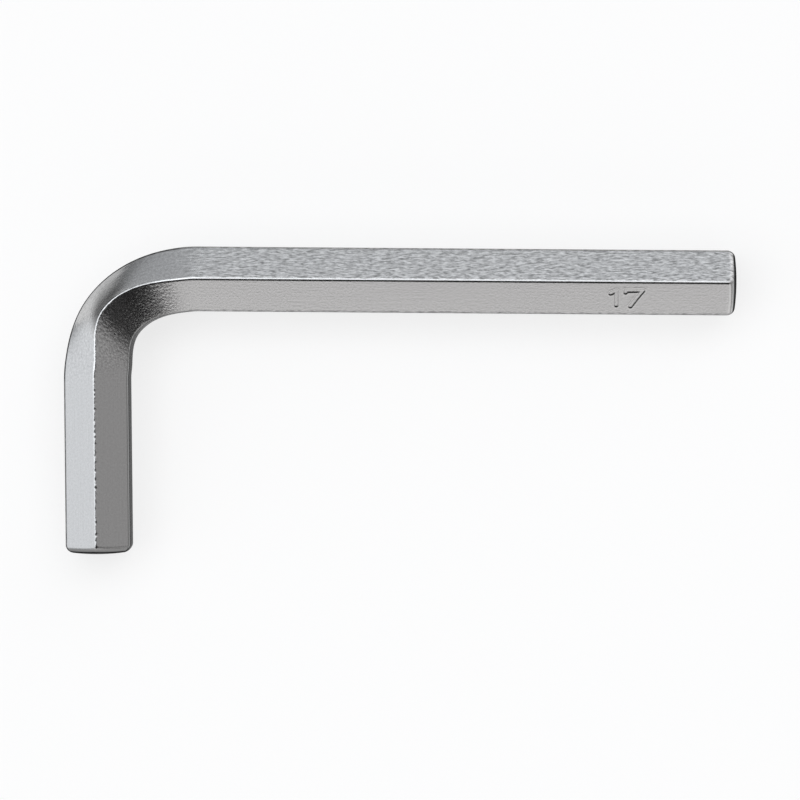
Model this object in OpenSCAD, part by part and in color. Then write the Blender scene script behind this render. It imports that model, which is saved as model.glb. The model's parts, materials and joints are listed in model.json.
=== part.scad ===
// L-shaped hex key bent from one length of hexagonal bar.
// The key lies on the arris that runs round under both arms, with the opposite one uppermost.
// X runs towards the long arm's tip, -Y towards the short arm's tip, Z up.
// The origin is at the middle of the key's outline, on the surface that it lies on.

/* [Bar] */
// Size across the flats
across_flats = 17; // [12:0.5:21]
// Radius rolled onto the six long arrises
arris_r = 0.9; // [0.4:0.1:1.4]

/* [Arms] */
// Long arm, from the outside of the short arm to its tip
long_arm = 177; // [110:1:250]
// Short arm, from the outside of the long arm to its tip
short_arm = 81.5; // [60:0.5:120]
// Radius of the crowned face at each tip
tip_crown_r = 52; // [20:1:100]
// Radius on the edge between a tip's crowned face and the flats
tip_edge_r = 1.8; // [0.5:0.1:3]

/* [Bend] */
// Radius of the bar's centre line round the bend
bend_r = 26.5; // [20:0.5:40]
// Angle that the bar is bent through, from one arm's line to the other's
bend_angle = 91; // [85:0.5:95]
// Place where bending has squeezed the bar most, as an angle from the long arm
squeeze_at = 53; // [40:1:60]
// Angle over which the squeeze builds up, on the long arm's side
squeeze_rise = 46; // [25:1:53]
// Angle over which the squeeze dies away, on the short arm's side
squeeze_fall = 30; // [20:1:37]
// Drift of the top and bottom arrises towards the outside of the bend
arris_drift = 3.8; // [0:0.1:4.5]
// Distance that the inner flat is drawn towards the outside
inner_draw = 2; // [0:0.1:3]
// Distance that the outer flat bulges outwards
outer_bulge = 1.1; // [0:0.1:2]
// Extra height that the inner flat swells to
inner_swell = 1.6; // [0:0.1:2.5]
// Height that the outer flat loses as it is stretched
outer_thinning = 2.4; // [0:0.1:3]
// Radius that the outer flat's two arrises blunt to
outer_arris_r = 2.2; // [1:0.1:2.6]
// Crown that the two faces beside the outer flat rise to
stretched_crown = 0.35; // [0:0.05:0.6]

/* [Detail] */
// Angle between two sections of the bend
bend_step = 3; // [2:0.5:6]
// Flats that make up each rounded arris
arris_steps = 4; // [3:1:6]
// Points across a face that can take a crown
crown_steps = 4; // [2:1:6]
// Flats that make up the rounded edge of a tip
tip_edge_steps = 5; // [3:1:8]
// Rings that make up the crowned face of a tip
tip_crown_rings = 4; // [3:1:8]

/* [Hidden] */
steel = [0.70, 0.71, 0.72];

// The hexagon before its arrises are rounded: a side, and half the height over two arrises
side = across_flats / sqrt(3);
half_flats = across_flats / 2;
sharp_half_height = side;
// Rounding takes this share of its radius off a 120 degree corner
corner_loss = 1 / cos(30) - 1;
half_height = sharp_half_height - corner_loss * arris_r;

// The bend turns about a point this far in from the outside of both arms
bend_centre = bend_r + half_flats;
bend_sections = ceil(bend_angle / bend_step);

// Rise from 0 to 1 that starts and ends level
function eased(t) = let (u = max(0, min(1, t))) u * u * (3 - 2 * u);

// Share of the full squeeze at an angle round the bend, counted from the long arm
function squeeze(angle) =
    angle < squeeze_at
    ? eased(1 - (squeeze_at - angle) / squeeze_rise)
    : eased(1 - (angle - squeeze_at) / squeeze_fall);

function unit(v) = v / norm(v);
// Normal on the right-hand side of a direction, which is outside an anticlockwise outline
function right_of(v) = [v[1], -v[0]];

// Arc of the given radius that rounds corner b between a and c of an anticlockwise outline
function rounded_corner(a, b, c, r) =
    let (
        into = unit(b - a),
        out = unit(c - b),
        turn = acos(into * out),
        centre = b - into * r * tan(turn / 2) - right_of(into) * r,
        start = atan2(right_of(into)[1], right_of(into)[0])
    )
    [for (i = [0 : arris_steps]) centre + r * [cos(start + turn * i / arris_steps),
                                               sin(start + turn * i / arris_steps)]];

// Points between a and b on a shallow crown that rises to the right of the line
function crowned_face(a, b, rise) =
    [for (i = [1 : crown_steps - 1])
        let (t = i / crown_steps)
        a + (b - a) * t + right_of(unit(b - a)) * rise * 4 * t * (1 - t)];

// Section of the bar as [outward, up] points about the bar's axis, at a share of the squeeze
function bar_section(share) =
    let (
        outer_half = side / 2 - outer_thinning / 2 * share,
        outer_at = half_flats + outer_bulge * share,
        inner_half = side / 2 + inner_swell / 2 * share,
        inner_at = -half_flats + inner_draw * share,
        crest_at = arris_drift * share,
        outer_r = arris_r + max(0, outer_arris_r - arris_r) * share,
        crown = stretched_crown * share,
        corners = [
            [outer_at, -outer_half],
            [outer_at, outer_half],
            [crest_at, sharp_half_height],
            [inner_at, inner_half],
            [inner_at, -inner_half],
            [crest_at, -sharp_half_height]
        ],
        radii = [outer_r, outer_r, arris_r, arris_r, arris_r, arris_r],
        arcs = [for (i = [0 : 5])
            rounded_corner(corners[(i + 5) % 6], corners[i], corners[(i + 1) % 6], radii[i])]
    )
    [
        for (p = arcs[0]) p,
        for (p = arcs[1]) p,
        for (p = crowned_face(arcs[1][arris_steps], arcs[2][0], crown)) p,
        for (p = arcs[2]) p,
        for (p = arcs[3]) p,
        for (p = arcs[4]) p,
        for (p = arcs[5]) p,
        for (p = crowned_face(arcs[5][arris_steps], arcs[0][0], crown)) p
    ];

// Directions in plan at an angle round the bend: to its outside, and on towards the short arm
function outward(angle) = [-sin(angle), cos(angle)];
function onward(angle) = [-cos(angle), -sin(angle)];

// Point on the bar's centre line at an angle round the bend
function on_centre_line(angle) =
    [bend_centre, -bend_centre] + bend_r * outward(angle);

// The section set up across the bar at an angle round the bend
function bar_ring(angle) =
    [for (p = bar_section(squeeze(angle)))
        let (plan = on_centre_line(angle) + p[0] * outward(angle))
        [plan[0], plan[1], p[1]]];

// Drop of a tip's crowned face below its middle, at a distance from the bar's centre line
function crown_drop(reach) = tip_crown_r - sqrt(tip_crown_r * tip_crown_r - reach * reach);

// The section at a tip, drawn in from the flats by an inset and set back from the crowned face
function tip_ring(angle, run, inset, back) =
    [for (p = bar_section(squeeze(angle)))
        let (
            q = p * (1 - inset / half_flats),
            along = run - sign(run) * (crown_drop(norm(q)) + back),
            plan = on_centre_line(angle) + q[0] * outward(angle) + along * onward(angle)
        )
        [plan[0], plan[1], q[1]]];

// Rings from the flats to the middle of a tip, over its rounded edge and its crowned face
function tip_rings(angle, run) = [
    for (i = [0 : tip_edge_steps])
        let (turn = 90 * i / tip_edge_steps)
        tip_ring(angle, run, tip_edge_r * (1 - cos(turn)), tip_edge_r * (1 - sin(turn))),
    for (i = [1 : tip_crown_rings - 1])
        tip_ring(angle, run,
                 tip_edge_r + (half_flats - tip_edge_r) * i / tip_crown_rings, 0)
];

// Middle of a tip's crowned face
function tip_middle(angle, run) =
    let (plan = on_centre_line(angle) + run * onward(angle))
    [plan[0], plan[1], 0];

function reversed(list) = [for (i = [len(list) - 1 : -1 : 0]) list[i]];

// Closed skin over a row of rings that all have the same number of points.
// Each end is a fan about its own middle point.
module skin(rings, middles) {
    around = len(rings[0]);
    last = len(rings) - 1;
    rings_end = around * len(rings);
    polyhedron(
        points = [
            for (ring = rings) for (p = ring) p,
            for (p = middles) p
        ],
        faces = [
            for (i = [0 : around - 1])
                [rings_end, (i + 1) % around, i],
            for (r = [0 : last - 1])
                for (i = [0 : around - 1])
                    let (a = r * around + i, b = r * around + (i + 1) % around)
                    each [[a, b, b + around], [a, b + around, a + around]],
            for (i = [0 : around - 1])
                [rings_end + 1, last * around + i, last * around + (i + 1) % around]
        ]
    );
}

// Straight lengths from the bend to the middles of the tips, which reach the overall sizes
long_run = long_arm - bend_centre;
short_run = (short_arm + on_centre_line(bend_angle)[1]) / sin(bend_angle);

module hex_key() {
    color(steel)
        translate([-long_arm / 2, short_arm / 2, half_height])
            skin(
                [
                    each reversed(tip_rings(0, -long_run)),
                    for (i = [0 : bend_sections]) bar_ring(bend_angle * i / bend_sections),
                    each tip_rings(bend_angle, short_run)
                ],
                [tip_middle(0, -long_run), tip_middle(bend_angle, short_run)]
            );
}

hex_key();
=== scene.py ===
import json
import math
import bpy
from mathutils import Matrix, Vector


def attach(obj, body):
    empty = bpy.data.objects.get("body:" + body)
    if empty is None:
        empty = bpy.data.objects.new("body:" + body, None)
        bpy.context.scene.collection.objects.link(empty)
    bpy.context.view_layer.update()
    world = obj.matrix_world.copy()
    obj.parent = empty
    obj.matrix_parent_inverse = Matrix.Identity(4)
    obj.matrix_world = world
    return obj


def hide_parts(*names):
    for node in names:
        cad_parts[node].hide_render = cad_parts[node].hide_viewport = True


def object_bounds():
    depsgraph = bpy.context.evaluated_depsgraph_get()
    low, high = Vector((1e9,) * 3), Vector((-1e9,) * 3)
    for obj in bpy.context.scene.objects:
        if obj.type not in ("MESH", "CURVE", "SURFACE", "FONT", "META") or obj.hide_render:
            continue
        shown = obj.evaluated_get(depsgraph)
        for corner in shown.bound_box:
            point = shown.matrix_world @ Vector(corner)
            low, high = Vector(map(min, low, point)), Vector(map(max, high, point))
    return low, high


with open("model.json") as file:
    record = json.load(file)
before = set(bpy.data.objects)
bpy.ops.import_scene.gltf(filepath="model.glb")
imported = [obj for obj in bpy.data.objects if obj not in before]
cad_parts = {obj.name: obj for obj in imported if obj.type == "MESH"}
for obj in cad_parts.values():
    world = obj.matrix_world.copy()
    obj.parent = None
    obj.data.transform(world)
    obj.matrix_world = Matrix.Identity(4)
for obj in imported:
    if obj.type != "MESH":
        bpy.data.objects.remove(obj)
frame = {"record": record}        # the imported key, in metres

from types import SimpleNamespace
from typing import NamedTuple

import bpy
from mathutils import Matrix, Vector

bl_info = {
    "name": "Hex Key",
    "version": (1, 0, 0),
    "blender": (4, 5, 0),
    "location": "View3D > Sidebar > Hex Key",
    "description": "Bends, stamps and plates a hexagon key and sets up a studio round it",
    "category": "Object",
}

MM = 0.001
NODE = "hex_key"
BODY = "root"
SLOT = frame["record"]["materials"][0]["slot"]
CAD_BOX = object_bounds()
CAD_SIZE = CAD_BOX[1] - CAD_BOX[0]


class Value:
    """One output of a node tree, on which + - * / and ** add the Math nodes for that sum."""

    def __init__(self, net, socket):
        self.net = net
        self.socket = socket

    def __add__(self, other):
        return self.net.maths("ADD", self, other)

    def __radd__(self, other):
        return self.net.maths("ADD", other, self)

    def __sub__(self, other):
        return self.net.maths("SUBTRACT", self, other)

    def __rsub__(self, other):
        return self.net.maths("SUBTRACT", other, self)

    def __mul__(self, other):
        return self.net.maths("MULTIPLY", self, other)

    def __rmul__(self, other):
        return self.net.maths("MULTIPLY", other, self)

    def __truediv__(self, other):
        return self.net.maths("DIVIDE", self, other)

    def __rtruediv__(self, other):
        return self.net.maths("DIVIDE", other, self)

    def __pow__(self, other):
        return self.net.maths("POWER", self, other)

    def __neg__(self):
        return self.net.maths("MULTIPLY", self, -1.0)

    def __abs__(self):
        return self.net.maths("ABSOLUTE", self)

    def beside(self, name):
        """Another output of the node that this one comes from."""
        return Value(self.net, self.net.find(self.socket.node.outputs, name))


class Net:
    """Adds nodes to one shader tree or geometry tree."""

    def __init__(self, tree):
        self.tree = tree

    @classmethod
    def emptied(cls, block):
        """The net of a material or a world, with no nodes in it yet."""
        block.use_nodes = True
        block.node_tree.nodes.clear()
        return cls(block.node_tree)

    def add(self, kind, settings=None, inputs=None, output=0):
        """A node of that type: its settings first, then the values or links of its sockets."""
        node = self.tree.nodes.new(kind)
        for name, setting in (settings or {}).items():
            setattr(node, name, setting)
        for key, given in (inputs or {}).items():
            socket = self.find(node.inputs, key)
            if isinstance(given, Value):
                self.tree.links.new(given.socket, socket)
            else:
                socket.default_value = given
        return Value(self, self.find(node.outputs, output))

    def end(self, kind, result):
        """The tree's output node of that type, which takes the result."""
        node = self.tree.nodes.new(kind)
        self.tree.links.new(result.socket, node.inputs[0])

    @staticmethod
    def find(sockets, key):
        """A socket by its place, its identifier or its name."""
        if isinstance(key, int):
            return sockets[key]
        for socket in sockets:
            if socket.identifier == key:
                return socket
        return sockets[key]

    def maths(self, operation, *operands):
        """A Math node, or a Vector Math node where an operand is a vector."""
        vector = any(isinstance(o, Value) and o.socket.type == "VECTOR" for o in operands)
        kind = "ShaderNodeVectorMath" if vector else "ShaderNodeMath"
        return self.add(kind, {"operation": operation}, dict(enumerate(operands)))

    def eased(self, value, low, high, to_low=0.0, to_high=1.0):
        """The value's smooth climb from to_low at low to to_high at high, level outside them."""
        return self.add("ShaderNodeMapRange", {"interpolation_type": "SMOOTHSTEP", "clamp": True}, {
            "Value": value, "From Min": low, "From Max": high, "To Min": to_low, "To Max": to_high})

    def between(self, value, low, high, edge):
        """1 from low to high and 0 outside, with soft edges of that width."""
        return self.eased(value, low, low + edge) * self.eased(value, high - edge, high, 1.0, 0.0)

    def clamped(self, value):
        """The value, held from 0 to 1."""
        return self.add("ShaderNodeClamp", None, {"Value": value, "Min": 0.0, "Max": 1.0})

    def blend(self, factor, first, second):
        """first where the factor is 0 and second where it is 1."""
        return first + (second - first) * factor

    def mixed_colour(self, factor, first, second):
        """The first colour where the factor is 0 and the second where it is 1."""
        return self.add("ShaderNodeMix", {"data_type": "RGBA"}, {
            "Factor_Float": factor, "A_Color": first, "B_Color": second}, "Result_Color")

    def point(self, x, y, z):
        """A vector of three numbers."""
        return self.add("ShaderNodeCombineXYZ", None, {"X": x, "Y": y, "Z": z})

    def axes(self, vector):
        """The three numbers of a vector."""
        x = self.add("ShaderNodeSeparateXYZ", None, {"Vector": vector}, "X")
        return x, x.beside("Y"), x.beside("Z")

    def speckle(self, at, detail, roughness):
        """Noise from about 0 to 1 at a vector, one speck to a unit."""
        return self.add("ShaderNodeTexNoise", {"noise_dimensions": "3D"}, {
            "Vector": at, "Scale": 1.0, "Detail": detail, "Roughness": roughness})


class HEXKEY_PG_sizes(bpy.types.PropertyGroup):
    """Sizes of the bar, of its bend and of the nicks in its crests"""

    across_flats: bpy.props.FloatProperty(
        name="Across flats", description="Size across the flats of the hexagon",
        default=17 * MM, min=12 * MM, max=21 * MM, subtype="DISTANCE", unit="LENGTH")
    arris_radius: bpy.props.FloatProperty(
        name="Arris radius", description="Radius on the six long arrises",
        default=0.9 * MM, min=0.4 * MM, max=1.4 * MM, subtype="DISTANCE", unit="LENGTH")
    long_arm: bpy.props.FloatProperty(
        name="Long arm", description="Long arm, from the outside of the short arm to its tip",
        default=CAD_SIZE.x, min=0.11, max=0.25, subtype="DISTANCE", unit="LENGTH")
    short_arm: bpy.props.FloatProperty(
        name="Short arm", description="Short arm, from the outside of the long arm to its tip",
        default=CAD_SIZE.y, min=0.06, max=0.12, subtype="DISTANCE", unit="LENGTH")
    tip_crown: bpy.props.FloatProperty(
        name="Tip crown", description="Radius of the crowned face at each tip",
        default=52 * MM, min=20 * MM, max=100 * MM, subtype="DISTANCE", unit="LENGTH")
    tip_edge: bpy.props.FloatProperty(
        name="Tip edge", description="Radius on the edge between a tip's crowned face and the flats",
        default=1.8 * MM, min=0.5 * MM, max=3 * MM, subtype="DISTANCE", unit="LENGTH")
    bend_radius: bpy.props.FloatProperty(
        name="Bend radius", description="Radius of the bar's centre line round the bend",
        default=26.5 * MM, min=20 * MM, max=40 * MM, subtype="DISTANCE", unit="LENGTH")
    bend_angle: bpy.props.FloatProperty(
        name="Bend angle", description="Angle that the bar is bent through",
        default=math.radians(91), min=math.radians(85), max=math.radians(95),
        subtype="ANGLE", unit="ROTATION")
    squeeze_at: bpy.props.FloatProperty(
        name="Squeeze at", description="Place of the most squeezed section, from the long arm",
        default=math.radians(53), min=math.radians(40), max=math.radians(60),
        subtype="ANGLE", unit="ROTATION")
    squeeze_rise: bpy.props.FloatProperty(
        name="Squeeze rise", description="Angle over which the squeeze builds up",
        default=math.radians(46), min=math.radians(25), max=math.radians(53),
        subtype="ANGLE", unit="ROTATION")
    squeeze_fall: bpy.props.FloatProperty(
        name="Squeeze fall", description="Angle over which the squeeze dies away",
        default=math.radians(30), min=math.radians(20), max=math.radians(37),
        subtype="ANGLE", unit="ROTATION")
    arris_drift: bpy.props.FloatProperty(
        name="Arris drift", description="Drift of the top and bottom arrises to the bend's outside",
        default=3.8 * MM, min=0, max=4.5 * MM, subtype="DISTANCE", unit="LENGTH")
    inner_draw: bpy.props.FloatProperty(
        name="Inner draw", description="Distance that the inner flat is drawn outwards",
        default=2 * MM, min=0, max=3 * MM, subtype="DISTANCE", unit="LENGTH")
    outer_bulge: bpy.props.FloatProperty(
        name="Outer bulge", description="Distance that the outer flat bulges outwards",
        default=1.1 * MM, min=0, max=2 * MM, subtype="DISTANCE", unit="LENGTH")
    inner_swell: bpy.props.FloatProperty(
        name="Inner swell", description="Extra height that the inner flat swells to",
        default=1.6 * MM, min=0, max=2.5 * MM, subtype="DISTANCE", unit="LENGTH")
    outer_thinning: bpy.props.FloatProperty(
        name="Outer thinning", description="Height that the outer flat loses",
        default=2.4 * MM, min=0, max=3 * MM, subtype="DISTANCE", unit="LENGTH")
    outer_blunting: bpy.props.FloatProperty(
        name="Outer blunting", description="Depth that stretching takes off the outer flat's arrises",
        default=0.15 * MM, min=0, max=0.6 * MM, subtype="DISTANCE", unit="LENGTH")
    stretched_crown: bpy.props.FloatProperty(
        name="Stretched crown", description="Crown of the two faces beside the outer flat",
        default=0.2 * MM, min=0, max=0.6 * MM, subtype="DISTANCE", unit="LENGTH")
    inner_crown: bpy.props.FloatProperty(
        name="Inner crown", description="Crown of the two faces beside the inner flat",
        default=0.2 * MM, min=0, max=0.6 * MM, subtype="DISTANCE", unit="LENGTH")
    nick_depth: bpy.props.FloatProperty(
        name="Nick depth", description="Depth of the small nicks along the short arm's crests",
        default=0.12 * MM, min=0, max=0.4 * MM, subtype="DISTANCE", unit="LENGTH")


class HEXKEY_PG_stamp(bpy.types.PropertyGroup):
    """The size number that is struck into one face of the long arm"""

    from_tip: bpy.props.FloatProperty(
        name="From tip", description="Distance of the number's middle from the long arm's tip",
        default=28.5 * MM, min=15 * MM, max=60 * MM, subtype="DISTANCE", unit="LENGTH")
    depth: bpy.props.FloatProperty(
        name="Depth", description="Depth of the struck lines",
        default=0.06 * MM, min=0.03 * MM, max=0.5 * MM, subtype="DISTANCE", unit="LENGTH")
    line_width: bpy.props.FloatProperty(
        name="Line width", description="Width of the struck lines at the face",
        default=1.25 * MM, min=0.4 * MM, max=2 * MM, subtype="DISTANCE", unit="LENGTH")
    floor_width: bpy.props.FloatProperty(
        name="Floor width", description="Width of the struck lines at their flat bottom",
        default=0.6 * MM, min=0, max=1 * MM, subtype="DISTANCE", unit="LENGTH")
    lip: bpy.props.FloatProperty(
        name="Lip", description="Height of the lip raised beside the lines",
        default=0.012 * MM, min=0, max=0.1 * MM, subtype="DISTANCE", unit="LENGTH")


class HEXKEY_PG_finish(bpy.types.PropertyGroup):
    """Satin plating over drawn bar"""

    plating: bpy.props.FloatVectorProperty(
        name="Plating", description="Colour of the plating",
        default=(0.62, 0.62, 0.62), min=0, max=1, size=3, subtype="COLOR")
    edge_tint: bpy.props.FloatVectorProperty(
        name="Edge tint", description="Tint of the plating where it is seen almost edge on",
        default=(0.02, 0.02, 0.02), min=0, max=1, size=3, subtype="COLOR")
    roughness: bpy.props.FloatProperty(
        name="Roughness", description="Roughness of the plain faces",
        default=0.2, min=0.1, max=0.7, subtype="FACTOR")
    grain: bpy.props.FloatProperty(
        name="Grain", description="Height of the fine grain of the plating",
        default=0.016 * MM, min=0, max=0.1 * MM, subtype="DISTANCE", unit="LENGTH")
    bend_grain: bpy.props.FloatProperty(
        name="Bend grain", description="Height of the coarser grain where the bar was bent",
        default=0.045 * MM, min=0, max=0.3 * MM, subtype="DISTANCE", unit="LENGTH")
    strokes: bpy.props.FloatProperty(
        name="Strokes", description="Height of the rubbed strokes on one face of the long arm",
        default=0.02 * MM, min=0, max=0.2 * MM, subtype="DISTANCE", unit="LENGTH")


class HEXKEY_PG_studio(bpy.types.PropertyGroup):
    """Floor, lights and camera"""

    floor: bpy.props.FloatVectorProperty(
        name="Floor", description="Colour of the floor",
        default=(0.97, 0.97, 0.97), min=0, max=1, size=3, subtype="COLOR")
    whiteness: bpy.props.FloatProperty(
        name="Whiteness", description="Share of plain white in the floor that the camera sees",
        default=0.7, min=0, max=1, subtype="FACTOR")
    brightness: bpy.props.FloatProperty(
        name="Brightness", description="Level of the studio's light on the key",
        default=1.0, min=0, max=4, subtype="FACTOR")
    lamp_power: bpy.props.FloatProperty(
        name="Lamp power", description="Power of the softbox",
        default=16.0, min=0, max=400, subtype="POWER", unit="POWER")
    camera_height: bpy.props.FloatProperty(
        name="Camera height", description="Distance of the camera from the key",
        default=1.019, min=0.5, max=3, subtype="DISTANCE", unit="LENGTH")
    frame_width: bpy.props.FloatProperty(
        name="Frame width", description="Width that the picture covers at the key",
        default=211.5 * MM, min=0.15, max=0.4, subtype="DISTANCE", unit="LENGTH")


# Flats that make up a rounded arris, and rings that make up a tip's rounded edge and its face
ARRIS_STEPS = 8
TIP_EDGE_STEPS = 12
TIP_CROWN_STEPS = 12
# The bottom crest comes first, and the numbers run anticlockwise seen from the long arm's tip
BOTTOM_CREST, OUTER_LOW, OUTER_HIGH, TOP_CREST, INNER_HIGH, INNER_LOW = range(6)
# The nicked face and the stamped face, each after its arris, take more steps than the plain ones
PLAIN_FACE_STEPS = 6
FACE_STEPS = {OUTER_HIGH: 24, TOP_CREST: 64}
# Angle from one arris to the next about the bar's axis
SIXTH = math.radians(60)


def pointing(angle):
    """The direction across the bar, as (out, up), at an angle from straight out."""
    return Vector((math.cos(angle), math.sin(angle)))


def arris_angle(arris):
    """Angle of an arris from straight out. The face after it lies half of a sixth further on."""
    return SIXTH * arris - math.radians(90)


def bar_outline(sizes):
    """The bar's section as (out, up, distance round) points, from the bottom crest anticlockwise."""
    centre_at = (sizes.across_flats / 2 - sizes.arris_radius) / math.cos(SIXTH / 2)
    points = []
    for arris in range(6):
        middle = arris_angle(arris)
        centre = pointing(middle) * centre_at
        for step in range(ARRIS_STEPS + 1):
            angle = middle + SIXTH * (step / ARRIS_STEPS - 0.5)
            points.append(centre + pointing(angle) * sizes.arris_radius)
        next_centre = pointing(middle + SIXTH) * centre_at
        face_out = pointing(middle + SIXTH / 2) * sizes.arris_radius
        steps = FACE_STEPS.get(arris, PLAIN_FACE_STEPS)
        for step in range(1, steps):
            points.append(centre.lerp(next_centre, step / steps) + face_out)
    outline = []
    walked = 0.0
    for index, point in enumerate(points):
        outline.append((point.x, point.y, walked))
        walked += (points[(index + 1) % len(points)] - point).length
    return outline, walked


def runs(sizes):
    """Distances along the centre line: the long tip, the bend's start at 0 and end, the short tip."""
    half_flats = sizes.across_flats / 2
    centre = sizes.bend_radius + half_flats
    bend = sizes.bend_radius * sizes.bend_angle
    end_y = -centre + sizes.bend_radius * math.cos(sizes.bend_angle)
    straight = (sizes.short_arm + end_y) / math.sin(sizes.bend_angle)
    return centre - sizes.long_arm, bend, bend + straight


# The straight bar stops short of each tip, where its rounded edge begins
TIP_CLEAR = 3.4 * MM
# Half of the length that takes the number
STAMP_HALF = 5.8 * MM
# Distances between two rings of points
PLAIN_STEP = 1.0 * MM
STAMP_STEP = 0.1 * MM
BEND_STEP = 0.5 * MM
NICKED_STEP = 0.35 * MM


def stations(sizes, stamp):
    """Distances along the centre line at which the bar has a ring of points."""
    long_tip, bend, short_tip = runs(sizes)
    stamp_at = long_tip + stamp.from_tip
    stretches = [
        (long_tip + TIP_CLEAR, stamp_at - STAMP_HALF, PLAIN_STEP),
        (stamp_at - STAMP_HALF, stamp_at + STAMP_HALF, STAMP_STEP),
        (stamp_at + STAMP_HALF, 0.0, PLAIN_STEP),
        (0.0, bend, BEND_STEP),
        (bend, short_tip - TIP_CLEAR, NICKED_STEP),
    ]
    places = []
    for start, stop, step in stretches:
        count = math.ceil((stop - start) / step)
        places += [start + (stop - start) * i / count for i in range(count)]
    return places + [short_tip - TIP_CLEAR]


# Ends of the struck lines in mm, from the number's middle: x towards the long tip, y up the face
STRUCK_LINES = {
    "flag of the 1": ((-4.8, 1.4), (-3.5, 2.15)),
    "stem of the 1": ((-3.35, 2.2), (-3.25, -2.1)),
    "hook of the 7": ((-0.9, 2.3), (-0.9, 1.75)),
    "bar of the 7": ((-0.9, 2.25), (3.6, 2.3)),
    "top of the 7's leg": ((3.6, 2.25), (2.45, 0.7)),
    "middle of the 7's leg": ((2.45, 0.7), (1.4, -0.9)),
    "foot of the 7's leg": ((1.4, -0.9), (0.45, -2.4)),
}
# Width of the raised lip, as a share of half a line's width
LIP_SPREAD = 0.4


def distance_to_line(point, start, stop):
    """Distance of a point from a straight line between two points."""
    span = stop - start
    share = max(0.0, min(1.0, (point - start).dot(span) / span.length_squared))
    return (point - start - span * share).length


def struck_depth(x, y, stamp):
    """Depth below the face at a place on it, negative on the lip beside a struck line."""
    here = Vector((x, y))
    nearest = min(
        distance_to_line(here, Vector(start) * MM, Vector(stop) * MM)
        for start, stop in STRUCK_LINES.values())
    reach = stamp.line_width / 2
    floor_half = stamp.floor_width / 2
    if nearest < reach:
        climb = max(0.0, (nearest - floor_half) / (reach - floor_half))
        return stamp.depth * (1 - climb * climb * (3 - 2 * climb))
    return -stamp.lip * math.exp(-((nearest - reach - stamp.lip) / (LIP_SPREAD * reach)) ** 2)


class Spot(NamedTuple):
    """A point on the straight bar's skin, along the centre line and out and up from it.

    walked is its distance round the section, and inset its distance in from the flats on a tip.
    wall is 1 halfway down the side of a struck line, and 0 on the faces.
    """

    along: float
    out: float
    up: float
    walked: float
    inset: float = 0.0
    wall: float = 0.0


def crown_drop(sizes, reach):
    """Drop of a tip's face below its middle, at a distance from the centre line."""
    return sizes.tip_crown - math.sqrt(sizes.tip_crown ** 2 - reach ** 2)


def tip_ring(sizes, outline, tip, side, inset, back):
    """The outline near a tip, drawn in from the flats and set back from the tip's crowned face."""
    share = 1 - inset / (sizes.across_flats / 2)
    ring = []
    for out, up, walked in outline:
        drop = crown_drop(sizes, math.hypot(out, up) * share) + back
        ring.append(Spot(tip - side * drop, out * share, up * share, walked, inset))
    return ring


def tip_rings(sizes, outline, tip, side):
    """Rings over a tip's rounded edge and on over its crowned face, nearly to its middle."""
    edge = sizes.tip_edge
    rings = []
    for step in range(TIP_EDGE_STEPS + 1):
        turn = math.radians(90) * step / TIP_EDGE_STEPS
        rings.append(tip_ring(sizes, outline, tip, side,
                              edge * (1 - math.cos(turn)), edge * (1 - math.sin(turn))))
    for step in range(1, TIP_CROWN_STEPS):
        inset = edge + (sizes.across_flats / 2 - edge) * step / TIP_CROWN_STEPS
        rings.append(tip_ring(sizes, outline, tip, side, inset, 0.0))
    return rings


# A point this close to the stamped face's plane is on that face
ON_FACE = 0.01 * MM


def bar_ring(sizes, stamp, outline, place):
    """The outline at a place along the bar, sunk on one face where the number is struck."""
    long_tip, _, _ = runs(sizes)
    middle = long_tip + stamp.from_tip
    face_out = pointing(arris_angle(TOP_CREST) + SIXTH / 2)
    face_up = Vector((face_out.y, -face_out.x))
    ring = []
    for out, up, walked in outline:
        point = Vector((out, up))
        on_face = abs(point.dot(face_out) - sizes.across_flats / 2) < ON_FACE
        wall = 0.0
        if on_face and abs(place - middle) < STAMP_HALF:
            depth = struck_depth(middle - place, point.dot(face_up), stamp)
            share = max(0.0, depth / stamp.depth)
            wall = 4 * share * (1 - share)
            point -= face_out * depth
        ring.append(Spot(place, point.x, point.y, walked, wall=wall))
    return ring


def skin(rings, tips, round_length):
    """A closed mesh over the rings, with a fan of faces on the middle of each tip.

    Its UV map is the distance along the bar, which runs on over a tip, and the distance round.
    """
    around = len(rings[0])
    last = len(rings) - 1
    points = [(spot.along, -spot.out, spot.up) for ring in rings for spot in ring]
    points += [(tip, 0.0, 0.0) for tip in tips]
    faces = []
    corners = []

    def corner(ring, index, wrapped=False):
        """A ring point's place on the UV map, where the seam ends at the whole length round."""
        spot = rings[ring][index]
        tip_side = -1 if ring < len(rings) / 2 else 1
        return spot.along + tip_side * spot.inset, round_length if wrapped else spot.walked

    for ring in range(last):
        for index in range(around):
            after = (index + 1) % around
            wrapped = after == 0
            here = ring * around + index
            beside = ring * around + after
            faces.append((here, here + around, beside + around, beside))
            corners += [corner(ring, index), corner(ring + 1, index),
                        corner(ring + 1, after, wrapped), corner(ring, after, wrapped)]
    for tip, ring, flip in ((len(points) - 2, 0, False), (len(points) - 1, last, True)):
        for index in range(around):
            after = (index + 1) % around
            here = ring * around + index
            beside = ring * around + after
            faces.append((tip, beside, here) if flip else (tip, here, beside))
            end = (points[tip][0], corner(ring, index)[1])
            pair = [corner(ring, index), corner(ring, after, after == 0)]
            corners += [end] + (pair[::-1] if flip else pair)

    mesh = bpy.data.meshes.new("straight_bar")
    mesh.from_pydata(points, [], faces)
    layer = mesh.uv_layers.new(name="bar")
    layer.data.foreach_set("uv", [number for pair in corners for number in pair])
    # Marks the struck lines' walls, where the plating's colour takes painted shade
    walls = mesh.attributes.new("struck", "FLOAT", "POINT")
    walls.data.foreach_set(
        "value", [spot.wall for ring in rings for spot in ring] + [0.0 for _ in tips])
    mesh.shade_smooth()
    mesh.update()
    return mesh


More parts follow.
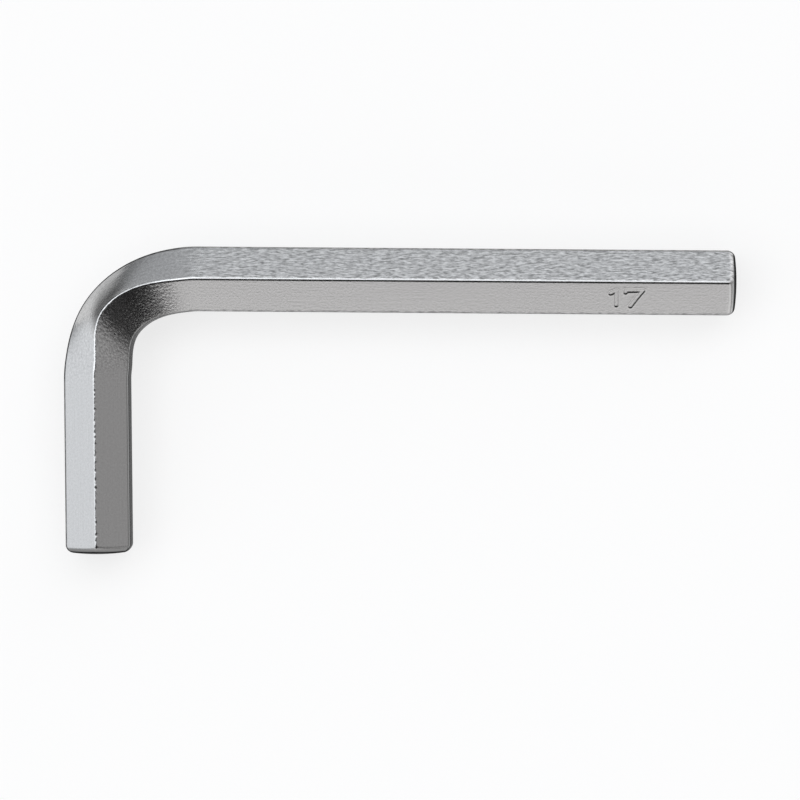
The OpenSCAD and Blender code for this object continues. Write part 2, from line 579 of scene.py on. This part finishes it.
def straight_bar(sizes, stamp):
    """The bar before it is bent: X along its centre line, Y to the bend's inside, Z up."""
    outline, round_length = bar_outline(sizes)
    long_tip, _, short_tip = runs(sizes)
    rings = tip_rings(sizes, outline, long_tip, -1)[::-1]
    rings += [bar_ring(sizes, stamp, outline, place) for place in stations(sizes, stamp)]
    rings += tip_rings(sizes, outline, short_tip, 1)
    return skin(rings, (long_tip, short_tip), round_length)


# The bending tree's sizes, each with the property that it takes
BEND_INPUTS = {
    "Across Flats": "across_flats",
    "Bend Radius": "bend_radius",
    "Bend Angle": "bend_angle",
    "Squeeze At": "squeeze_at",
    "Squeeze Rise": "squeeze_rise",
    "Squeeze Fall": "squeeze_fall",
    "Arris Drift": "arris_drift",
    "Inner Draw": "inner_draw",
    "Outer Bulge": "outer_bulge",
    "Inner Swell": "inner_swell",
    "Outer Thinning": "outer_thinning",
    "Outer Blunting": "outer_blunting",
    "Stretched Crown": "stretched_crown",
    "Inner Crown": "inner_crown",
    "Nick Depth": "nick_depth",
}
# The outer half of the section gives way to the inner one this near to the centre line
HALVES_BLEND = 1.5 * MM
# Reach of the blunting from the outer flat's arrises
BLUNTING_REACH = 3.0 * MM
# Shares of the two crowns and of the blunting that go out and up
STRETCHED_WAY = (0.7, 0.7)
BLUNTING_WAY = (-0.87, -0.5)
INNER_CROWN_WAY = (-0.4, 0.92)
# The nicks cut the last part of the climb to the crests, from this share of the bend on
NICKED_CLIMB = (0.88, 0.97)
NICKS_FROM = 0.8
# Nicks per metre along the bar and out from it, and their noise where they are none and full
NICKS_ALONG, NICKS_OUT = 1300, 500
NICK_NOISE = (0.45, 0.7)
NICK_DETAIL, NICK_ROUGHNESS = 2.0, 0.6
NICK_SEED = 7.0
# The nicks also push the crests sideways, by this many of their depths at most to each side
NICK_SIDEWAYS = 1.5


def share_of_squeeze(net, given, angle):
    """The share of the full squeeze, 0 to 1, at an angle round the bend."""
    rising = 1 - (given["Squeeze At"] - angle) / given["Squeeze Rise"]
    falling = 1 - (angle - given["Squeeze At"]) / given["Squeeze Fall"]
    return net.eased(net.maths("MINIMUM", rising, falling), 0.0, 1.0)


def squeezed_section(net, given, squeeze, out, height):
    """Where a place in the section moves out and up to, and its climb from the flats' arrises."""
    # A hexagon's side is its half flats over cos 30, and its flats' arrises are half a side up
    half_flats = given["Across Flats"] / 2
    half_side = half_flats / math.cos(SIXTH / 2) / 2
    climb = net.clamped((height - half_side) / half_side)
    outer = net.eased(out, -HALVES_BLEND, HALVES_BLEND)
    side_shift = net.blend(outer, given["Inner Draw"], given["Outer Bulge"])
    out_moved = out + squeeze * net.blend(climb, side_shift, given["Arris Drift"])
    flat_half = half_side + squeeze / 2 * net.blend(
        outer, given["Inner Swell"], -given["Outer Thinning"])
    below = net.maths("MINIMUM", height, half_side) / half_side * flat_half
    height_moved = below + climb * (half_side * 2 - flat_half)

    # A crown is 0 at both ends of the climb and 1 halfway
    crown = 4 * climb * (1 - climb)
    from_arris = net.maths("SQRT", (out - half_flats) ** 2 + (height - half_side) ** 2)
    changes = [
        (squeeze ** 2 * outer * given["Stretched Crown"] * crown, STRETCHED_WAY),
        (squeeze ** 2 * given["Outer Blunting"]
         * net.eased(from_arris, 0.0, BLUNTING_REACH, 1.0, 0.0), BLUNTING_WAY),
        (squeeze * (1 - outer) * given["Inner Crown"] * crown, INNER_CROWN_WAY),
    ]
    for change, (share_out, share_up) in changes:
        out_moved = out_moved + change * share_out
        height_moved = height_moved + change * share_up
    return out_moved, height_moved, climb


def nicks_in_crest(net, given, along, out, climb):
    """How far the short arm's crests move, out and in height, where they are nicked."""
    bend_end = given["Bend Angle"] * given["Bend Radius"]
    depth = (net.eased(climb, *NICKED_CLIMB) * given["Nick Depth"]
             * net.eased(along, bend_end * NICKS_FROM, bend_end))
    noise = net.speckle(net.point(along * NICKS_ALONG, out * NICKS_OUT, NICK_SEED),
                        NICK_DETAIL, NICK_ROUGHNESS)
    return depth * NICK_SIDEWAYS * 2 * (noise - 0.5), -depth * net.eased(noise, *NICK_NOISE)


def bending_tree(sizes):
    """Geometry nodes that bend a straight bar round a former and squeeze its section."""
    tree = bpy.data.node_groups.new("bend_bar", "GeometryNodeTree")
    tree.interface.new_socket("Geometry", in_out="INPUT", socket_type="NodeSocketGeometry")
    for name, size in BEND_INPUTS.items():
        socket = tree.interface.new_socket(name, in_out="INPUT", socket_type="NodeSocketFloat")
        socket.default_value = getattr(sizes, size)
    tree.interface.new_socket("Material", in_out="INPUT", socket_type="NodeSocketMaterial")
    tree.interface.new_socket("Geometry", in_out="OUTPUT", socket_type="NodeSocketGeometry")
    net = Net(tree)
    geometry = net.add("NodeGroupInput", None, None, "Geometry")
    given = {name: geometry.beside(name) for name in BEND_INPUTS}

    along, inward, up = net.axes(net.add("GeometryNodeInputPosition"))
    out = -inward
    radius = given["Bend Radius"]
    angle = net.maths("MINIMUM", net.maths("MAXIMUM", along / radius, 0.0), given["Bend Angle"])
    squeeze = share_of_squeeze(net, given, angle)
    out_moved, height_moved, climb = squeezed_section(net, given, squeeze, out, abs(up))
    nicked_out, nicked_up = nicks_in_crest(net, given, along, out, climb)
    height_moved = (height_moved + nicked_up) * net.maths("SIGN", up)

    centre = radius + given["Across Flats"] / 2
    reach = radius + out_moved + nicked_out
    straight = along - angle * radius
    sine_of, cosine_of = net.maths("SINE", angle), net.maths("COSINE", angle)
    x = centre - reach * sine_of - straight * cosine_of
    y = reach * cosine_of - straight * sine_of - centre
    placed = net.add("GeometryNodeSetPosition", None, {
        "Geometry": geometry, "Position": net.point(x, y, height_moved)})
    whole = net.add("GeometryNodeRealizeInstances", None, {"Geometry": placed})
    net.end("NodeGroupOutput", net.add("GeometryNodeSetMaterial", None, {
        "Geometry": whole, "Material": geometry.beside("Material")}))
    return tree


def bent(mesh, sizes, material):
    """The straight bar's mesh, bent by the geometry nodes and made a plain mesh at its place."""
    holder = bpy.data.objects.new("bending", mesh)
    bpy.context.scene.collection.objects.link(holder)
    tree = bending_tree(sizes)
    modifier = holder.modifiers.new("bend", "NODES")
    modifier.node_group = tree
    by_name = {
        socket.name: socket.identifier for socket in tree.interface.items_tree
        if socket.item_type == "SOCKET" and socket.in_out == "INPUT"}
    for name, size in BEND_INPUTS.items():
        modifier[by_name[name]] = getattr(sizes, size)
    modifier[by_name["Material"]] = material
    evaluated = holder.evaluated_get(bpy.context.evaluated_depsgraph_get())
    result = bpy.data.meshes.new_from_object(evaluated)
    bpy.data.objects.remove(holder)
    result.transform(Matrix.Translation((
        CAD_BOX[0].x, CAD_BOX[1].y, (CAD_BOX[0].z + CAD_BOX[1].z) / 2)))
    result.name = "plated_key"
    return result


class Marks(NamedTuple):
    """A pattern in the plating: its marks per metre along and round the bar, and its noise."""

    along: float
    around: float
    seed: float
    detail: float = 2.0
    roughness: float = 0.5


FINE_GRAIN = Marks(along=1700, around=1700, seed=1.0, roughness=0.6)
PITS = Marks(along=950, around=950, seed=2.0, detail=3.0, roughness=0.65)
WANDER = Marks(along=330, around=700, seed=3.0)
DASHES = Marks(along=620, around=2400, seed=5.0)
DRAWN_LINES = Marks(along=45, around=3600, seed=7.0, detail=3.0)
STROKES = Marks(along=400, around=2200, seed=11.0, detail=3.0, roughness=0.6)
# How far the wander pushes the strokes and the dashes, in marks along and round the bar
STROKE_WANDER = (1.2, 3.0)
DASH_WANDER = (0.0, 2.0)
# The strokes and dashes are none and full at these levels of their noise
MARK_CONTRAST = (0.34, 0.66)

# Bands round the bar: where each begins and ends, in sixths from the bottom crest, and its blur
OUTER_FLAT = (OUTER_LOW - 0.09, OUTER_HIGH - 0.03, 0.04)
OUTER_ARRIS = (OUTER_HIGH - 0.07, OUTER_HIGH + 0.06, 0.03)
OUTER_FACE = (OUTER_HIGH, TOP_CREST, 0.05)
RUBBED_FACE = (OUTER_HIGH + 0.02, TOP_CREST - 0.02, 0.04)
CREST = (TOP_CREST - 0.06, TOP_CREST + 0.02, 0.03)
INNER_FACE = (TOP_CREST - 0.1, INNER_HIGH + 0.1, 0.1)
INNER_FLAT = (INNER_HIGH - 0.07, INNER_LOW + 0.09, 0.04)
# The long arm's looks give way to the short arm's over this stretch, from the bend's start
ARMS_BLEND = (-5 * MM, 9 * MM)
# Blur of the bend's two ends, and of the tips' ends of the bands
BEND_BLUR = 8 * MM
TIP_BLUR = 1 * MM
# The grained skin lies this far inside the bend's two ends, with its blur
SKIN_START, SKIN_STOP, SKIN_BLUR = 4 * MM, 1 * MM, 7 * MM
# Share of the skin on the faces other than the inner one
SKIN_ELSEWHERE = 0.12

# Zones of painted shade on the outer and the inner face, in degrees round the bend: where each begins
# and ends, and its blur
OUTER_BEND_SHADE = (27, 61, 13)
INNER_BEND_SHADE = (20, 48, 9)
# The outer face's painted shade leans by this many degrees over the face, and deepens towards the
# crest
OUTER_BEND_SHADE_LEAN = 20
OUTER_BEND_SHADE_CLIMB = (0.35, 1.3)
# Stretches past a tip over which painted shade darkens the plating's colour, with the share that is
# taken off
LONG_TIP_EDGE, LONG_TIP_DARK = (-1.1 * MM, -0.2 * MM), 0.85
SHORT_TIP_EDGE, SHORT_TIP_DARK = (-2.1 * MM, -1.2 * MM), 0.6
SHORT_TIP_RIM, SHORT_RIM_DARK = (-0.7 * MM, 0.1 * MM), 0.25
# The painted shade on the tip's face itself is a little less dark than on its edge
TIP_FACE, TIP_FACE_SHARE = (1.4 * MM, 2.6 * MM), 0.85
# Painted shade on the short arm's inner flat, darkening from its upper arris on, by the last two
# shares
INNER_FLAT_FADE = (INNER_HIGH + 0.1, INNER_HIGH + 0.4, 0.45, 0.98)
# Shares of the colour that painted shade takes off the other edges: everywhere, where a dash is, and
# at the bend; then off the struck lines' walls and the two zones of the bend
SHORT_ARRIS_DARK, SHORT_ARRIS_DASHED, BEND_ARRIS_DARK = 0.55, 0.2, 0.2
SHORT_OUTER_FLAT_DARK = 0.25
LONG_EDGE_DARK, LONG_EDGE_DASHED, LONG_OUTER_FLAT_DASHED = 0.15, 0.45, 0.4
STRUCK_PAINTED_SHADE, OUTER_BEND_SHADE_DARK, INNER_BEND_SHADE_DARK = 0.55, 0.55, 0.3
# Painted highlight: the share that the crest gains, and what it gains besides at the bend
CREST_PAINTED_HIGHLIGHT, BEND_CREST_PAINTED_HIGHLIGHT = 0.1, 0.4

# How far the patterns lighten and darken the colour
STROKE_SHADE, DASH_SHADE, RUBBED_SHADE = 0.6, 0.5, 0.05
FINE_SHADE, BEND_FINE_SHADE, DRAWN_SHADE = 0.28, 0.37, 0.12
# Heights of the drawn lines as a share of the grain's, and of the dashes as a share of the strokes'
DRAWN_HEIGHT, DASH_HEIGHT = 0.3, 0.5
# Roughness that the fine grain varies by, and that rubbing adds
FINE_ROUGHNESS, RUBBED_ROUGHNESS = 0.1, 0.1
# The plating's colour is written at a shade of 1, and this shade is the brightest
BRIGHTEST = 1.6


def bar_places(net, sizes):
    """Where a spot of the plating is: along and round the bar, and masks from 0 to 1."""
    _, round_length = bar_outline(sizes)
    half_arris = sizes.arris_radius * SIXTH / 2
    long_tip, bend, short_tip = runs(sizes)
    along, around, _ = net.axes(net.add("ShaderNodeUVMap", {"uv_map": "bar"}))
    # The arrises are at the whole numbers of this count round the bar, the faces between them
    count = (around - half_arris) / (round_length / 6)
    sides = net.between(along, long_tip - TIP_BLUR / 2, short_tip + TIP_BLUR / 2, TIP_BLUR)
    on_long = net.eased(along, *ARMS_BLEND, 1.0, 0.0)
    inner_face = net.between(count, *INNER_FACE)
    stretched = net.between(along, SKIN_START, bend - SKIN_STOP, SKIN_BLUR)
    return SimpleNamespace(
        along=along,
        around=around,
        count=count,
        past_long_tip=long_tip - along,
        past_short_tip=along - short_tip,
        bend_degrees=along / sizes.bend_radius * math.degrees(1),
        on_long=on_long,
        at_bend=net.between(along, -BEND_BLUR / 2, bend + BEND_BLUR / 2, BEND_BLUR),
        rubbed=sides * on_long * net.between(count, *RUBBED_FACE),
        outer_flat=sides * net.between(count, *OUTER_FLAT),
        outer_arris=sides * net.between(count, *OUTER_ARRIS),
        outer_face=net.between(count, *OUTER_FACE),
        inner_face=inner_face,
        inner_flat=sides * net.between(count, *INNER_FLAT),
        crest=net.between(count, *CREST),
        skin=stretched * (SKIN_ELSEWHERE + inner_face * (1 - SKIN_ELSEWHERE)))


def pattern(net, at, marks, push_along=0.0, push_around=0.0):
    """A pattern's noise, with its marks pushed along and round the bar."""
    return net.speckle(net.point(at.along * marks.along + push_along,
                                 at.around * marks.around + push_around, marks.seed),
                       marks.detail, marks.roughness)


def wandering(net, at, marks, wander, push):
    """A pattern of clear marks that wander along and round the bar."""
    noise = pattern(net, at, marks, wander * push[0], wander * push[1])
    return net.eased(noise, *MARK_CONTRAST)


def tips_painted_shade(net, at):
    """Share of the colour that painted shade takes off the tips."""
    tips = (net.eased(at.past_long_tip, *LONG_TIP_EDGE) * LONG_TIP_DARK
            + net.eased(at.past_short_tip, *SHORT_TIP_EDGE) * SHORT_TIP_DARK
            + net.eased(at.past_short_tip, *SHORT_TIP_RIM) * SHORT_RIM_DARK)
    past_edge = net.maths("MAXIMUM", at.past_long_tip, at.past_short_tip)
    return tips * net.eased(past_edge, *TIP_FACE, 1.0, TIP_FACE_SHARE)


def edges_painted_shade(net, at, dashes):
    """Share of the colour that painted shade takes off the arrises and the two vertical flats."""
    short_arris = (SHORT_ARRIS_DARK + dashes * SHORT_ARRIS_DASHED
                   + at.at_bend * BEND_ARRIS_DARK)
    on_short = (at.outer_arris * short_arris + at.outer_flat * SHORT_OUTER_FLAT_DARK
                + at.inner_flat * net.eased(at.count, *INNER_FLAT_FADE))
    long_edge = LONG_EDGE_DARK + dashes * LONG_EDGE_DASHED
    on_long = ((at.outer_arris + at.inner_flat) * long_edge
               + at.outer_flat * dashes * LONG_OUTER_FLAT_DASHED)
    return net.blend(at.on_long, on_short, on_long)


def bend_painted_shade(net, at):
    """Shares of the colour that painted shade takes off the outer and the inner face in a zone of the
    bend.
    """
    leaning = at.bend_degrees - (at.count - (OUTER_HIGH + TOP_CREST) / 2) * OUTER_BEND_SHADE_LEAN
    outer_shade = (at.outer_face * net.eased(at.count, OUTER_HIGH, TOP_CREST, *OUTER_BEND_SHADE_CLIMB)
              * net.between(leaning, *OUTER_BEND_SHADE))
    inner_shade = at.inner_face * net.between(at.bend_degrees, *INNER_BEND_SHADE)
    return outer_shade * OUTER_BEND_SHADE_DARK, inner_shade * INNER_BEND_SHADE_DARK


def plated_steel(sizes, finish):
    """Satin plating: drawn grain on every face, rubbed strokes on one, grained skin at the bend,
    painted shade on the tips, edges, struck lines and two zones of the bend, and a painted highlight
    on the crest.
    """
    material = bpy.data.materials.new(SLOT)
    net = Net.emptied(material)
    at = bar_places(net, sizes)
    fine = pattern(net, at, FINE_GRAIN)
    pits = pattern(net, at, PITS)
    drawn = pattern(net, at, DRAWN_LINES)
    wander = pattern(net, at, WANDER)
    strokes = wandering(net, at, STROKES, wander, STROKE_WANDER)
    dashes = wandering(net, at, DASHES, wander, DASH_WANDER)
    # The struck lines' walls, which take painted shade in the colour
    struck = net.add("ShaderNodeAttribute", {"attribute_name": "struck"}, None, "Fac")

    height = (fine * (finish.grain + at.skin * finish.bend_grain)
              + pits * at.skin * finish.bend_grain
              + drawn * finish.grain * DRAWN_HEIGHT * (1 - at.at_bend)
              + (strokes + dashes * DASH_HEIGHT) * finish.strokes * at.rubbed)
    bump = net.add("ShaderNodeBump", None, {"Height": height / MM, "Distance": MM})

    rubbing = (strokes - 0.5) * STROKE_SHADE + (dashes - 0.5) * DASH_SHADE + RUBBED_SHADE
    grain = (fine - 0.5) * (FINE_SHADE + at.at_bend * BEND_FINE_SHADE + at.skin)
    shade = 1 + at.rubbed * rubbing + grain + (drawn - 0.5) * DRAWN_SHADE
    # Painted shade on the tips, and on the arrises and the two vertical flats
    shade = shade * (1 - tips_painted_shade(net, at)) * (1 - edges_painted_shade(net, at, dashes))
    # Painted shade on the walls of the struck lines
    shade = shade * (1 - struck * STRUCK_PAINTED_SHADE)
    # Painted shade in two zones of the bend
    for dark_zone in bend_painted_shade(net, at):
        shade = shade * (1 - dark_zone)
    # Painted highlight along the crest
    shade = shade * (1 + at.crest * (CREST_PAINTED_HIGHLIGHT + at.at_bend * BEND_CREST_PAINTED_HIGHLIGHT))
    brightest = [min(1, channel * BRIGHTEST) for channel in finish.plating]
    steel = net.add("ShaderNodeBsdfPrincipled", None, {
        "Base Color": net.mixed_colour(
            net.clamped(shade / BRIGHTEST), (0, 0, 0, 1), (*brightest, 1)),
        "Metallic": 1.0,
        "Roughness": net.clamped(
            finish.roughness + (fine - 0.5) * FINE_ROUGHNESS + at.rubbed * RUBBED_ROUGHNESS),
        "Normal": bump,
        "Specular Tint": (*finish.edge_tint, 1)})
    net.end("ShaderNodeOutputMaterial", steel)
    return material


class HEXKEY_OT_key(bpy.types.Operator):
    """Bend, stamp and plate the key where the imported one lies"""

    bl_idname = "hex_key.make_key"
    bl_label = "Make Key"

    def execute(self, context):
        settings = context.scene
        sizes = settings.hex_key_sizes
        material = plated_steel(sizes, settings.hex_key_finish)
        mesh = bent(straight_bar(sizes, settings.hex_key_stamp), sizes, material)
        key = bpy.data.objects.new("plated_key", mesh)
        context.scene.collection.objects.link(key)
        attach(key, BODY)
        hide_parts(NODE)
        return {"FINISHED"}


class Wall(NamedTuple):
    """A lit wall of the studio: its angles in degrees as seen from the key, and its light."""

    azimuth: float
    half_width: float
    soft_edge: float
    top: float
    light: float


WALLS = {
    "far": Wall(azimuth=76, half_width=20, soft_edge=3, top=58, light=0.62),
    "far_left": Wall(azimuth=96, half_width=24, soft_edge=18, top=58, light=0.5),
    "left": Wall(azimuth=190, half_width=28, soft_edge=8, top=56, light=1.0),
    "near": Wall(azimuth=267, half_width=46, soft_edge=4, top=33.5, light=0.94),
    "corner": Wall(azimuth=330, half_width=16, soft_edge=3, top=30, light=0.375),
    "right": Wall(azimuth=14, half_width=36, soft_edge=3, top=84, light=0.375),
    "far_right": Wall(azimuth=52, half_width=14, soft_edge=10, top=60, light=1.0),
}
# Half the blur of a wall's top, in degrees, and the light of the gaps between walls
TOP_BLUR = 2.5
GAP_LIGHT = 0.02
# The ceiling comes in between these heights, and its lit part lies towards this azimuth
CEILING_HEIGHTS = (41, 48)
CEILING_AZIMUTH = 115
CEILING_EDGE = (0.03, 0.13)
CEILING_DARK, CEILING_LIT = 0.03, 1.35
# Daylight from one side is a little cool, the light from the other side a little warm
COOL_AZIMUTH = 135
COOL_EDGE = (-0.3, 0.3)
COOL, WARM = (0.972, 0.997, 1.03, 1), (1.01, 0.996, 0.994, 1)
# Least level part of a direction, so that straight overhead nothing is divided by nothing
LEVEL_AT_LEAST = 0.001


def sine(degrees):
    """Sine of an angle in degrees."""
    return math.sin(math.radians(degrees))


def cosine(degrees):
    """Cosine of an angle in degrees."""
    return math.cos(math.radians(degrees))


def surroundings(studio):
    """The studio that lights the key: soft lit walls, dark gaps between them and a lit ceiling."""
    world = bpy.data.worlds.new("studio")
    net = Net.emptied(world)
    x, y, z = net.axes(net.add("ShaderNodeTexCoord", None, None, "Generated"))

    def towards(azimuth):
        """How far a direction goes towards an azimuth, from -1 to 1."""
        return x * cosine(azimuth) + y * sine(azimuth)

    level = net.maths("MAXIMUM", net.maths("SQRT", x * x + y * y), LEVEL_AT_LEAST)
    walls = GAP_LIGHT
    for wall in WALLS.values():
        lit = net.eased(towards(wall.azimuth) / level, cosine(wall.half_width + wall.soft_edge),
                        cosine(wall.half_width - wall.soft_edge))
        below = net.eased(z, sine(wall.top - TOP_BLUR), sine(wall.top + TOP_BLUR), 1.0, 0.0)
        walls = net.maths("MAXIMUM", walls, lit * below * wall.light)
    overhead = net.eased(z, *[sine(height) for height in CEILING_HEIGHTS])
    ceiling = net.eased(towards(CEILING_AZIMUTH), *CEILING_EDGE, CEILING_DARK, CEILING_LIT)
    light = net.maths("MAXIMUM", walls, overhead * ceiling)
    tint = net.mixed_colour(net.eased(towards(COOL_AZIMUTH), *COOL_EDGE), WARM, COOL)
    net.end("ShaderNodeOutputWorld", net.add("ShaderNodeBackground", None, {
        "Color": tint, "Strength": light * studio.brightness}))
    return world


LAMP_HEIGHT = 1.6
LAMP_SIZE = 2.4


def softbox(studio):
    """The main lamp, a wide square softbox overhead, which the metal doesn't mirror."""
    data = bpy.data.lights.new("softbox", "AREA")
    data.shape = "SQUARE"
    data.size = LAMP_SIZE
    data.energy = studio.lamp_power
    lamp = bpy.data.objects.new("softbox", data)
    bpy.context.scene.collection.objects.link(lamp)
    lamp.location = (0, 0, LAMP_HEIGHT)
    lamp.visible_camera = False
    lamp.visible_glossy = False
    return lamp


FLOOR_REACH = 12.0
FLOOR_ROUGHNESS = 0.9
# The bend's swollen crest reaches a hair lower than the bar's, and stays clear of the floor
FLOOR_GAP = 0.02 * MM


def floor(studio):
    """A wide plain floor at the height that the key lies on."""
    mesh = bpy.data.meshes.new("floor")
    reach = FLOOR_REACH
    base = CAD_BOX[0].z - FLOOR_GAP
    mesh.from_pydata([(-reach, -reach, base), (reach, -reach, base), (reach, reach, base),
                      (-reach, reach, base)], [], [(0, 1, 2, 3)])
    material = bpy.data.materials.new("floor")
    net = Net.emptied(material)
    matt = net.add("ShaderNodeBsdfPrincipled", None, {
        "Base Color": (*studio.floor, 1), "Roughness": FLOOR_ROUGHNESS,
        "Specular IOR Level": 0.0})
    white = net.add("ShaderNodeEmission", None, {"Color": (1, 1, 1, 1), "Strength": 1.0})
    camera_ray = net.add("ShaderNodeLightPath", None, None, "Is Camera Ray")
    seen = net.clamped(camera_ray + camera_ray.beside("Is Glossy Ray")
                       + camera_ray.beside("Is Transmission Ray"))
    net.end("ShaderNodeOutputMaterial", net.add("ShaderNodeMixShader", None, {
        0: seen * studio.whiteness, 1: matt, 2: white}))
    mesh.materials.append(material)
    plane = bpy.data.objects.new("floor", mesh)
    bpy.context.scene.collection.objects.link(plane)
    return plane


# How the photograph's camera leans and rolls from straight above the key, and how far it is moved
LEAN_ABOUT_X = math.radians(1.10)
LEAN_ABOUT_Y = math.radians(-1.14)
ROLL = math.radians(-0.48)
AIM = Vector((0.08 * MM, 0.69 * MM, 0.0))
SENSOR_WIDTH = 36.0
NEAREST, FARTHEST = 0.01, 100.0


def camera(studio):
    """The photograph's camera, above the key."""
    data = bpy.data.cameras.new("camera")
    data.sensor_width = SENSOR_WIDTH
    data.lens = SENSOR_WIDTH * studio.camera_height / studio.frame_width
    data.clip_start, data.clip_end = NEAREST, FARTHEST
    eye = bpy.data.objects.new("camera", data)
    bpy.context.scene.collection.objects.link(eye)
    turned = (Matrix.Rotation(ROLL, 3, "Z") @ Matrix.Rotation(LEAN_ABOUT_Y, 3, "Y")
              @ Matrix.Rotation(LEAN_ABOUT_X, 3, "X")).transposed()
    middle = (CAD_BOX[0] + CAD_BOX[1]) / 2
    place = middle + turned @ (Vector((0, 0, studio.camera_height)) + AIM)
    eye.matrix_world = Matrix.Translation(place) @ turned.to_4x4()
    bpy.context.scene.camera = eye
    return eye


class HEXKEY_OT_studio(bpy.types.Operator):
    """Put a floor, lit walls, a lamp and the photograph's camera round the key"""

    bl_idname = "hex_key.set_studio"
    bl_label = "Set Studio"

    def execute(self, context):
        studio = context.scene.hex_key_studio
        floor(studio)
        camera(studio)
        softbox(studio)
        context.scene.world = surroundings(studio)
        context.scene.view_settings.view_transform = "Standard"
        return {"FINISHED"}


class HEXKEY_PT_panel(bpy.types.Panel):
    """Sizes and steps of the hex key"""

    bl_label = "Hex Key"
    bl_idname = "HEXKEY_PT_panel"
    bl_space_type = "VIEW_3D"
    bl_region_type = "UI"
    bl_category = "Hex Key"

    def draw(self, context):
        for group in GROUPS:
            box = self.layout.box()
            settings = getattr(context.scene, group)
            for name in settings.bl_rna.properties.keys():
                if name not in ("rna_type", "name"):
                    box.prop(settings, name)
        self.layout.operator(HEXKEY_OT_key.bl_idname)
        self.layout.operator(HEXKEY_OT_studio.bl_idname)


GROUPS = {
    "hex_key_sizes": HEXKEY_PG_sizes,
    "hex_key_stamp": HEXKEY_PG_stamp,
    "hex_key_finish": HEXKEY_PG_finish,
    "hex_key_studio": HEXKEY_PG_studio,
}
CLASSES = (*GROUPS.values(), HEXKEY_OT_key, HEXKEY_OT_studio, HEXKEY_PT_panel)


def register():
    for made in CLASSES:
        bpy.utils.register_class(made)
    for name, group in GROUPS.items():
        setattr(bpy.types.Scene, name, bpy.props.PointerProperty(type=group))


def unregister():
    for name in GROUPS:
        delattr(bpy.types.Scene, name)
    for made in reversed(CLASSES):
        bpy.utils.unregister_class(made)


def main():
    register()
    bpy.ops.hex_key.make_key()
    bpy.ops.hex_key.set_studio()


if __name__ == "__main__":
    main()
